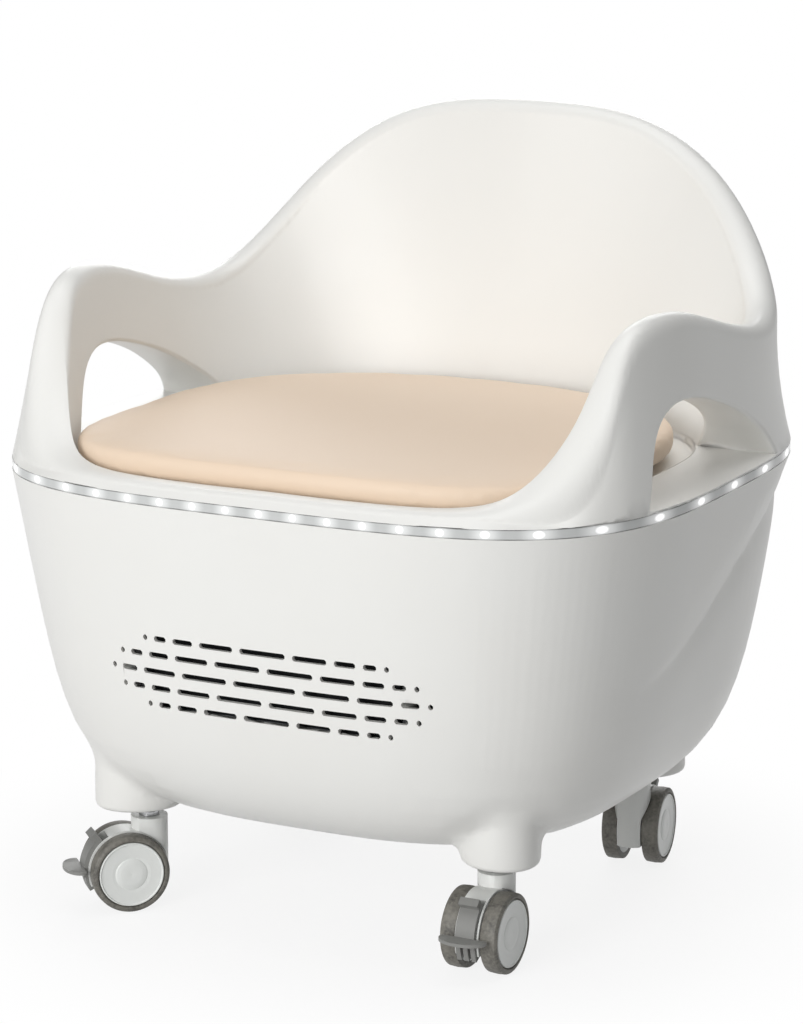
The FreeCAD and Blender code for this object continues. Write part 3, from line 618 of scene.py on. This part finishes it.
@dataclass
class Shells:
    """Bowl and seat shell, both moulded in the same off-white plastic.

    The crease's tables go by plan direction in degrees from the side: its height in millimetres, and the
    share of its depth. Limits of the regions are in metres.
    """

    crease_depth: float = 3.0 * MM
    crease_above: float = 18.0 * MM
    crease_below: float = 42.0 * MM
    crease_cuts: int = 3
    crease_height: dict[float, float] = field(default_factory=lambda: {
        -27: 258, -20: 259, -11: 275, -3: 294, 6: 322, 13: 343, 23: 371, 34: 394, 50: 412})
    crease_share: dict[float, float] = field(default_factory=lambda: {
        -33: 0, -22: 0.6, -8: 1, 34: 1, 46: 0.4, 52: 0})
    flank_heights: tuple[float, float] = (0.2, 0.418)
    flank_from: float = 0.2
    flank_facing: float = 0.5
    leg_blend: float = 24.0 * MM
    leg_rounds: int = 30
    leg_pull: float = 0.5
    leg_cuts: int = 2
    leg_edge: float = 4 * MM
    leg_heights: tuple[float, float] = (0.108, 0.2)
    leg_reach: tuple[float, float] = (0.018, 0.1)
    leg_facing: float = 0.03
    corner_turn: float = 14.0

    def build(self) -> None:
        """Dress both shells."""
        finish = MouldedFinish("moulded_shell_satin", Tone.SHELL, Tone.SHELL_WARM).make()
        for node, slot in (("tub_shell", "tub"), ("upper_shell", "seat_shell")):
            bm = merged(node)
            if node == "tub_shell":
                self._press_crease(bm)
                self._soften_legs(bm)
            shell = finish_mesh(bm, node + "_moulding", finish, 32.0)
            even = shell.modifiers.new("EvenShading", "WEIGHTED_NORMAL")
            even.mode = "FACE_AREA_WITH_ANGLE"
            even.keep_sharp = True
            stand_for(shell, "chair", node)

    def _press_crease(self, bm: BMesh) -> None:
        """Sharpen the crease that sweeps up each side of the bowl, on a finer mesh.

        Args:
            bm: The bowl.
        """
        bm.normal_update()
        sides = {vert for vert in bm.verts if self._beside_crease(vert)}
        edges = [edge for edge in bm.edges if sides.issuperset(edge.verts)]
        bmesh.ops.subdivide_edges(bm, edges=edges, cuts=self.crease_cuts, use_grid_fill=True)
        bm.normal_update()
        for vert in bm.verts:
            if self._beside_crease(vert):
                turn = math.degrees(math.atan2(vert.co.y, abs(vert.co.x)))
                above = vert.co.z - along_stations(self.crease_height, turn) * MM
                reach = self.crease_above if above > 0 else self.crease_below
                press = max(0.0, 1 - abs(above) / reach) ** 2
                outwards = Vector((vert.co.x, vert.co.y, 0)).normalized()
                vert.co -= outwards * self.crease_depth * press * along_stations(self.crease_share, turn)

    def _soften_legs(self, bm: BMesh) -> None:
        """Round the line where each leg runs into the bowl, on a finer mesh.

        Args:
            bm: The bowl.
        """
        bm.normal_update()
        beside = {vert for vert in bm.verts if self._beside_leg(vert)}
        edges = [edge for edge in bm.edges
                 if beside.issuperset(edge.verts) and edge.calc_length() > self.leg_edge]
        bmesh.ops.subdivide_edges(bm, edges=edges, cuts=self.leg_cuts, use_grid_fill=True)
        bm.normal_update()
        beside = [vert for vert in bm.verts if self._beside_leg(vert)]
        line = [vert.co.copy() for edge in bm.edges if self._in_corner(edge) for vert in edge.verts
                if self._beside_leg(vert)]
        tree = KDTree(len(line))
        for index, place in enumerate(line):
            tree.insert(place, index)
        tree.balance()
        pulls = {vert: max(0.0, 1 - tree.find(vert.co)[2] / self.leg_blend) for vert in beside}
        for _ in range(self.leg_rounds):
            moved = {}
            for vert, pull in pulls.items():
                if pull > 0:
                    middle = sum((edge.other_vert(vert).co for edge in vert.link_edges), Vector())
                    moved[vert] = vert.co.lerp(middle / len(vert.link_edges), self.leg_pull * pull)
            for vert, place in moved.items():
                vert.co = place

    def _in_corner(self, edge: bmesh.types.BMEdge) -> bool:
        """Tell whether two faces meet at an edge in a hollow corner."""
        return len(edge.link_faces) == 2 and edge.calc_face_angle_signed() < -math.radians(self.corner_turn)

    def _beside_leg(self, vert: BMVert) -> bool:
        """Tell whether a vertex is on the outside of the bowl or of a leg, near where they meet.

        Args:
            vert: Vertex of the bowl.

        Returns:
            Whether it is at the right height, faces sideways or down, and is near a stem but not on it.
        """
        low, high = self.leg_heights
        if not low < vert.co.z < high or vert.normal.z > self.leg_facing:
            return False
        near, far = self.leg_reach
        nearest = min(math.hypot(vert.co.x - corner.stem[0], vert.co.y - corner.stem[1]) for corner in Corner)
        return near < nearest < far

    def _beside_crease(self, vert: BMVert) -> bool:
        """Tell whether a vertex is on the outside of the bowl's flank, clear of the legs and the rim.

        Args:
            vert: Vertex of the bowl.

        Returns:
            Whether it is at the right height, far enough to the side, and faces outwards.
        """
        low, high = self.flank_heights
        outwards = Vector((vert.co.x, vert.co.y, 0)).normalized()
        in_band = low < vert.co.z < high and abs(vert.co.x) > self.flank_from
        return in_band and vert.normal.dot(outwards) > self.flank_facing


@dataclass
class LightBand:
    """Clear band round the rim and the emitters behind it, which stand closer in front than at the sides."""

    half_width: float = 336.1 * MM
    half_depth: float = 300.6 * MM
    exponent: float = 3.5
    thickness: float = 3.0 * MM
    seam: float = 0.5 * MM
    steps: int = 400
    front_pitch: float = 34.0 * MM
    side_pitch: float = 76.0 * MM
    pitch_power: float = 1.5
    emitter_size: float = 3.6 * MM
    emitter_depth: float = 1.6 * MM
    emitter_inset: float = 8.8 * MM
    emitter_edge: float = 0.25 * MM
    emitter_glow: float = 1.5

    def build(self) -> None:
        """Make the band and the emitters."""
        counts = self._counts()
        self._band(counts)
        self._emitters(counts)

    def _rim(self, place: float) -> Vector:
        """Point of the band's outline, from a share of a full turn that starts in the middle of the -X side."""
        angle = -math.pi + math.tau * place
        return Vector(superellipse(self.half_width, self.half_depth, self.exponent, angle))

    def _counts(self) -> list[float]:
        """Count the emitters round the rim.

        Returns:
            Number of emitters passed at each step, from 0 to a whole number.
        """
        counts = [0.0]
        for i in range(self.steps):
            run = self._rim((i + 1) / self.steps) - self._rim(i / self.steps)
            sideways = abs(run.y) / run.length
            pitch = self.front_pitch + (self.side_pitch - self.front_pitch) * sideways ** self.pitch_power
            counts.append(counts[-1] + run.length / pitch)
        whole = round(counts[-1])
        return [count * whole / counts[-1] for count in counts]

    def _band(self, counts: list[float]) -> None:
        """Make the band.

        Args:
            counts: Emitters passed at each step round the rim.
        """
        low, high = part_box("light_diffuser")
        bm = bmesh.new()
        made = bmesh.ops.create_circle(bm, segments=self.steps, radius=1.0)
        for vert in made["verts"]:
            angle = math.atan2(vert.co.y, vert.co.x)
            vert.co.x, vert.co.y = superellipse(self.half_width, self.half_depth, self.exponent, angle)
            vert.co.z = low.z + self.seam
        raised = bmesh.ops.extrude_edge_only(bm, edges=bm.edges[:])["geom"]
        lift(bm, raised, high.z - low.z - 2 * self.seam)
        self._lay_uv(bm, counts, low.z, high.z)
        bmesh.ops.recalc_face_normals(bm, faces=bm.faces)
        bmesh.ops.solidify(bm, geom=bm.faces[:], thickness=self.thickness)
        bmesh.ops.recalc_face_normals(bm, faces=bm.faces)
        band = finish_mesh(bm, "light_band", BandFinish().make())
        stand_for(band, "chair", "light_diffuser")

    def _lay_uv(self, bm: BMesh, counts: list[float], low: float, high: float) -> None:
        """Lay the band's UV map: emitters passed along the rim, and the share of the band's height.

        Args:
            bm: The band.
            counts: Emitters passed at each step round the rim.
            low: Height of the band's lower edge.
            high: Height of its upper edge.
        """
        layer = bm.loops.layers.uv.new("along")

        def passed(x: float, y: float) -> float:
            """Emitters passed at a point of the rim."""
            place = (math.atan2(y, x) + math.pi) / math.tau * self.steps
            index = min(int(place), self.steps - 1)
            return counts[index] + (counts[index + 1] - counts[index]) * (place - index)

        for face in bm.faces:
            middle = passed(*face.calc_center_median().xy)
            for loop in face.loops:
                along = passed(*loop.vert.co.xy)
                along += round((middle - along) / counts[-1]) * counts[-1]
                loop[layer].uv = (along, (loop.vert.co.z - low) / (high - low))

    def _emitters(self, counts: list[float]) -> None:
        """Make one emitter behind each bright spot, standing on the strip.

        Args:
            counts: Emitters passed at each step round the rim.
        """
        low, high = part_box("light_emitters")
        bm = bmesh.new()
        size = Matrix.Diagonal((self.emitter_size, self.emitter_depth, self.emitter_size, 1.0))
        for i in range(round(counts[-1])):
            step = next(k for k in range(self.steps) if counts[k + 1] > i + 0.5)
            share = (i + 0.5 - counts[step]) / (counts[step + 1] - counts[step])
            run = self._rim((step + 1) / self.steps) - self._rim(step / self.steps)
            inwards = Vector((-run.y, run.x)).normalized() * self.emitter_inset
            spot = self._rim((step + share) / self.steps) + inwards
            turn = Matrix.Rotation(math.atan2(run.y, run.x), 4, "Z")
            place = Matrix.Translation((spot.x, spot.y, (low.z + high.z) / 2))
            bmesh.ops.create_cube(bm, size=1.0, matrix=place @ turn @ size)
        bmesh.ops.bevel(bm, geom=bm.edges[:], offset=self.emitter_edge, segments=1, profile=0.5,
                        affect="EDGES", material=-1)
        material = MouldedFinish("emitter_resin", Tone.HUB, Tone.HUB, 0.3, glow=self.emitter_glow).make()
        stand_for(finish_mesh(bm, "emitter_chips", material), "chair", "light_emitters")


@dataclass
class Cushion:
    """Loose seat pad: foam in a tight leatherette cover, swollen by a short cloth run."""

    centre_y: float = -25.0 * MM
    half_width: float = 261.5 * MM
    half_depth: float = 234.0 * MM
    front_exponent: float = 4.4
    rear_exponent: float = 2.35
    outline_steps: int = 160
    bottom: float = 433.0 * MM
    top: float = 455.5 * MM
    crown: float = 4.0 * MM
    edge: float = 6.0 * MM
    edge_steps: int = 4
    voxel: float = 5.0 * MM
    pressure: float = 4.0
    frames: int = 20
    most_swell: float = 2.5 * MM

    def build(self) -> None:
        """Make the pad."""
        bm = bmesh.new()
        made = bmesh.ops.create_circle(bm, cap_ends=True, segments=self.outline_steps, radius=1.0)
        for vert in made["verts"]:
            vert.co.x, vert.co.y = self._outline(math.atan2(vert.co.y, vert.co.x))
            vert.co.y += self.centre_y
            vert.co.z = self.bottom
        raised = bmesh.ops.extrude_face_region(bm, geom=bm.faces[:])["geom"]
        lift(bm, raised, self.top - self.bottom)
        rims = [edge for edge in bm.edges if abs(edge.verts[0].co.z - edge.verts[1].co.z) < TOUCH]
        bmesh.ops.recalc_face_normals(bm, faces=bm.faces)
        bmesh.ops.bevel(bm, geom=rims, offset=self.edge, segments=self.edge_steps, profile=0.5,
                        affect="EDGES", material=-1)
        pad = finish_mesh(bm, "seat_pad", LeatheretteFinish().make(), 180.0)
        self._remesh(pad)
        self._crown(pad)
        self._swell(pad)
        smooth = pad.modifiers.new("Rounding", "SUBSURF")
        smooth.levels = smooth.render_levels = 1
        stand_for(pad, "cushion", "seat_cushion")

    def _outline(self, angle: float) -> tuple[float, float]:
        """Point of the pad's outline about its centre, squarer in front than at the back."""
        exponent = self.front_exponent if angle < 0 else self.rear_exponent
        return superellipse(self.half_width, self.half_depth, exponent, angle)

    def _remesh(self, pad: bpy.types.Object) -> None:
        """Give the pad an even mesh for the cloth run.

        Args:
            pad: The pad.
        """
        even = pad.modifiers.new("Even", "REMESH")
        even.mode = "VOXEL"
        even.voxel_size = self.voxel
        even.use_smooth_shade = True
        self._apply(pad)

    def _crown(self, pad: bpy.types.Object) -> None:
        """Raise the middle of the top a little, fading to nothing at the edge.

        Args:
            pad: The pad.
        """
        for vert in pad.data.vertices:
            if vert.co.z > self.bottom + self.edge:
                edge_x, edge_y = self._outline(math.atan2(vert.co.y - self.centre_y, vert.co.x))
                reach = math.hypot(vert.co.x, vert.co.y - self.centre_y) / math.hypot(edge_x, edge_y)
                vert.co.z += self.crown * max(0.0, 1 - reach ** 3)

    def _swell(self, pad: bpy.types.Object) -> None:
        """Swell the cover with a cloth run, with a cap on how far any point moves.

        Args:
            pad: The pad.
        """
        rest = [vert.co.copy() for vert in pad.data.vertices]
        scene = bpy.context.scene
        cloth = pad.modifiers.new("Cover", "CLOTH")
        cloth.settings.use_pressure = True
        cloth.settings.uniform_pressure_force = self.pressure
        cloth.settings.effector_weights.gravity = 0.0
        cloth.settings.quality = 6
        cloth.point_cache.frame_start = 1
        cloth.point_cache.frame_end = self.frames
        for frame in range(1, self.frames + 1):
            scene.frame_set(frame)
        self._apply(pad)
        scene.frame_set(1)
        for vert, start in zip(pad.data.vertices, rest):
            move = vert.co - start
            if move.length > self.most_swell:
                vert.co = start + move.normalized() * self.most_swell
            vert.co.z = max(vert.co.z, self.bottom)

    @staticmethod
    def _apply(pad: bpy.types.Object) -> None:
        """Keep the pad's mesh as its modifiers leave it.

        Args:
            pad: The pad.
        """
        graph = bpy.context.evaluated_depsgraph_get()
        made = bpy.data.meshes.new_from_object(pad.evaluated_get(graph))
        pad.modifiers.clear()
        pad.data = made
        made.polygons.foreach_set("use_smooth", [True] * len(made.polygons))


@dataclass
class CasterFinishes:
    """Finishes shared by the four casters."""

    tread: bpy.types.Material = field(default_factory=lambda: TreadFinish(
        "polyurethane_tread", Tone.TREAD, Tone.TREAD_DARK).make())
    hub: bpy.types.Material = field(default_factory=lambda: MouldedFinish(
        "nylon_hub", Tone.HUB, Tone.HUB, 0.34, 1.53).make())
    housing: bpy.types.Material = field(default_factory=lambda: MouldedFinish(
        "nylon_housing", Tone.HOUSING, Tone.HOUSING, 0.36, 1.53).make())
    pedal: bpy.types.Material = field(default_factory=lambda: MouldedFinish(
        "nylon_pedal", Tone.PEDAL, Tone.PEDAL_DARK, 0.5, 1.53).make())


@dataclass
class Caster:
    """One braked twin-wheel caster."""

    corner: Corner
    finishes: CasterFinishes
    wheel_radius: float = 37.5 * MM
    hub_radius: float = 31.0 * MM
    wheel_width: float = 16.0 * MM
    gap: float = 25.0 * MM
    trail: float = 24.0 * MM
    axle_radius: float = 4.0 * MM
    tyre_rounding: float = 0.9 * MM
    disc_rounding: float = 0.35 * MM
    housing_edge: float = 0.7 * MM
    pedal_edge: float = 0.6 * MM
    steps: int = 96

    def build(self) -> None:
        """Make the wheels, and dress the housing and the pedal."""
        prefix = self.corner.prefix
        for side, name in ((-1, "left"), (1, "right")):
            wheel = f"{prefix}_{name}"
            tread = finish_mesh(self._spin(self._tyre_outline(), self.tyre_rounding, side), wheel + "_tread",
                                self.finishes.tread, 50.0)
            stand_for(tread, wheel + "_wheel", wheel + "_tyre")
            disc = finish_mesh(self._spin(self._hub_outline(), self.disc_rounding, side), wheel + "_disc",
                               self.finishes.hub, 50.0)
            stand_for(disc, wheel + "_wheel", wheel + "_hub")
        housing = finish_mesh(merged(prefix + "_housing"), prefix + "_fork", self.finishes.housing)
        round_edges(housing, self.housing_edge)
        stand_for(housing, prefix + "_swivel", prefix + "_housing")
        pedal = finish_mesh(merged(prefix + "_brake_pedal"), prefix + "_pedal", self.finishes.pedal)
        round_edges(pedal, self.pedal_edge)
        stand_for(pedal, prefix + "_brake", prefix + "_brake_pedal")

    def _tyre_outline(self) -> Outline:
        """Section of the tread, with a groove beside the disc.

        Returns:
            Corners, as distance from the middle plane and radius.
        """
        near, far = self.gap / 2, self.gap / 2 + self.wheel_width
        low = self.hub_radius
        return [(near + 0.1 * MM, low), (near + 0.1 * MM, self.wheel_radius - 0.6 * MM),
                ((near + far) / 2, self.wheel_radius), (far - 1.6 * MM, self.wheel_radius - 0.5 * MM),
                (far - 0.1 * MM, low + 3.0 * MM), (far - 0.3 * MM, low + 1.3 * MM),
                (far - 2.4 * MM, low + 0.9 * MM), (far - 2.6 * MM, low)]

    def _hub_outline(self) -> Outline:
        """Section of the disc: rim ring, sunk ring, and a shallow centre dome.

        Returns:
            Corners, as distance from the middle plane and radius.
        """
        near, far = self.gap / 2, self.gap / 2 + self.wheel_width
        rim, sunk, dome = self.hub_radius, self.hub_radius - 1.8 * MM, 14.6 * MM
        return [(near + 0.1 * MM, self.axle_radius + 0.3 * MM), (near + 0.1 * MM, rim), (far - 0.6 * MM, rim),
                (far - 0.2 * MM, rim - 0.6 * MM), (far - 0.2 * MM, sunk + 0.5 * MM), (far - 1.3 * MM, sunk),
                (far - 1.6 * MM, dome + 4 * MM), (far - 2.2 * MM, dome + 0.8 * MM), (far - 1.6 * MM, dome),
                (far - 0.9 * MM, dome - 4 * MM), (far - 0.5 * MM, 0.05 * MM), (far - 3.4 * MM, 0.05 * MM),
                (far - 3.4 * MM, self.axle_radius + 0.3 * MM)]

    def _spin(self, outline: Outline, rounding: float, side: int) -> BMesh:
        """Spin an outline round the axle into one part of a wheel.

        Args:
            outline: Corners of the section, as distance from the middle plane and radius.
            rounding: Radius at the section's corners.
            side: -1 for the left wheel, 1 for the right one.

        Returns:
            The part, in its place under its corner of the chair.
        """
        bm = bmesh.new()
        axle = Vector((0, -self.trail, self.wheel_radius))
        verts = [bm.verts.new(axle + Vector((side * x, 0, r))) for x, r in outline]
        for i, vert in enumerate(verts):
            bm.edges.new((vert, verts[(i + 1) % len(verts)]))
        bmesh.ops.bevel(bm, geom=bm.verts[:], offset=rounding, segments=3, profile=0.5, affect="VERTICES",
                        clamp_overlap=True, material=-1)
        bmesh.ops.spin(bm, geom=bm.verts[:] + bm.edges[:], cent=axle, axis=(1, 0, 0), angle=math.tau,
                       steps=self.steps, use_merge=True)
        bmesh.ops.remove_doubles(bm, verts=bm.verts, dist=TOUCH)
        bmesh.ops.recalc_face_normals(bm, faces=bm.faces)
        bmesh.ops.transform(bm, matrix=self.corner.place, verts=bm.verts)
        return bm


@dataclass
class Fittings:
    """Nodes that keep their shape and only need a finish."""

    def build(self) -> None:
        """Give every remaining node its material."""
        black = MouldedFinish("abs_black", Tone.BLACK, Tone.SCREEN, 0.42).make()
        screen = TreadFinish("dust_cloth", Tone.SCREEN, Tone.BLACK, 0.9, 1.0).make()
        steel = SteelFinish("turned_steel", Tone.STEEL).make()
        zinc = SteelFinish("zinc_screw", Tone.ZINC, 0.35).make()
        coat = MouldedFinish("powder_coat_grey", Tone.GREY_COAT, Tone.GREY_COAT, 0.5, 1.5, 1.0, 0.02).make()
        board = MouldedFinish("board_green", Tone.BOARD, Tone.BOARD, 0.3).make()
        strip = MouldedFinish("strip_white", Tone.HUB, Tone.HUB, 0.4).make()
        ply = TreadFinish("plywood", Tone.PLYWOOD, Tone.CUSHION_DEEP, 0.7, 8.0).make()
        nylon = MouldedFinish("nylon_grey", Tone.NYLON_GREY, Tone.NYLON_GREY, 0.5).make()
        finishes = {
            "dust_screen": screen, "vent_plate": coat, "fan_frame": black, "fan_rotor": black,
            "fan_screws": zinc, "power_supply": coat, "control_board": board, "board_posts": black,
            "power_inlet": black, "switch_body": black, "switch_key": black, "shell_screws": zinc,
            "stem_sockets": nylon, "caster_stems": steel, "bearing_cups": steel, "light_strip_board": strip,
            "cushion_board": ply, "cushion_feet": black,
        }
        for corner in Corner:
            finishes[corner.prefix + "_axle"] = steel
        for node, finish in finishes.items():
            mesh = bpy.data.objects[node].data
            mesh.materials.clear()
            mesh.materials.append(finish)
        LOG.info("dressed %d fittings", len(finishes))


# The studio


@dataclass(frozen=True)
class Lamp:
    """Soft square area lamp that faces the chair: place and size in metres, power in watts."""

    name: str
    place: tuple[float, float, float]
    size: float
    power: float
    target: tuple[float, float, float] = (0, 0, 0.42)

    def build(self) -> None:
        """Add the lamp."""
        data = bpy.data.lights.new(self.name, "AREA")
        data.shape = "SQUARE"
        data.size = self.size
        data.energy = self.power
        look_from(bpy.data.objects.new(self.name, data), self.place, self.target)


@dataclass
class Studio:
    """Camera at the photograph's angle, soft lamps and a plain pale floor.

    The floor's own paint shows by the share paint_seen round the chair, which keeps the shadow, and fades
    to clean white between the two distances of shadow_fade.
    """

    eye: tuple[float, float, float] = (1.6254, -3.1811, 1.1997)
    target: tuple[float, float, float] = (0.00863, -0.025, 0.3701)
    lens: float = 135.6
    sensor: float = 36.0
    floor_size: float = 14.0
    paint_seen: float = 0.15
    shadow_fade: tuple[float, float] = (0.3, 0.55)
    paint_as_seen: float = 0.96
    paint_as_light: float = 0.55
    world_tint: tuple[float, float, float, float] = (0.98, 0.99, 1.0, 1.0)
    world_strength: float = 0.28
    lamps: tuple[Lamp, ...] = (
        Lamp("key", (-0.45, -3.45, 1.2), 2.0, 80.0),
        Lamp("top", (0.35, 0.1, 3.2), 2.4, 36.0),
        Lamp("rear", (-1.4, 3.1, 1.6), 2.2, 48.0),
    )

    def build(self) -> None:
        """Set up camera, floor, world and lamps."""
        self._camera()
        self._floor()
        self._world()
        for lamp in self.lamps:
            lamp.build()

    def _camera(self) -> None:
        """Make the camera."""
        data = bpy.data.cameras.new("camera")
        data.lens = self.lens
        data.sensor_width = self.sensor
        camera = bpy.data.objects.new("camera", data)
        look_from(camera, self.eye, self.target)
        bpy.context.scene.camera = camera

    def _floor(self) -> None:
        """Make the floor: white, kept clean white away from the chair's shadow."""
        bm = bmesh.new()
        bmesh.ops.create_circle(bm, cap_ends=True, segments=64, radius=self.floor_size)
        material = bpy.data.materials.new("studio_floor")
        material.use_nodes = True
        tree = material.node_tree
        tree.nodes.clear()
        place = add_node(tree, "TexCoord").outputs["Object"]
        reach = add_node(tree, "VectorMath", {"operation": "LENGTH"}, {0: place}).outputs["Value"]
        fade = ramp(tree, reach, *self.shadow_fade, 1 - self.paint_seen, 1.0, smooth=True)
        seen = seen_by(tree, "Is Camera Ray", "Is Glossy Ray", "Is Transmission Ray")
        shade = blend(tree, seen, (*[self.paint_as_light] * 3, 1.0), (*[self.paint_as_seen] * 3, 1.0))
        paint = add_node(tree, "BsdfDiffuse", inputs={"Color": shade})
        white = add_node(tree, "Emission", inputs={"Color": WHITE, "Strength": 1.0})
        mixed = add_node(tree, "MixShader", inputs={
            0: compute(tree, "MULTIPLY", fade, seen), 1: paint.outputs[0], 2: white.outputs[0]})
        add_node(tree, "OutputMaterial", inputs={"Surface": mixed.outputs[0]})
        finish_mesh(bm, "floor", material)

    def _world(self) -> None:
        """Make the surroundings: an even soft light, seen as white."""
        world = bpy.data.worlds.new("studio")
        bpy.context.scene.world = world
        world.use_nodes = True
        tree = world.node_tree
        tree.nodes.clear()
        seen = seen_by(tree, "Is Camera Ray", "Is Transmission Ray")
        soft = add_node(tree, "Background",
                        inputs={"Color": self.world_tint, "Strength": self.world_strength})
        white = add_node(tree, "Background", inputs={"Color": WHITE, "Strength": 1.0})
        mixed = add_node(tree, "MixShader", inputs={0: seen, 1: soft.outputs[0], 2: white.outputs[0]})
        add_node(tree, "OutputWorld", inputs={"Surface": mixed.outputs[0]})


def main() -> None:
    """Build the whole scene."""
    logging.basicConfig(level=logging.INFO, format="%(message)s")
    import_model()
    bpy.context.scene.view_settings.view_transform = "Standard"
    Shells().build()
    LightBand().build()
    Cushion().build()
    finishes = CasterFinishes()
    for corner in Corner:
        Caster(corner, finishes).build()
    Fittings().build()
    Studio().build()


if __name__ == "__main__":
    main()
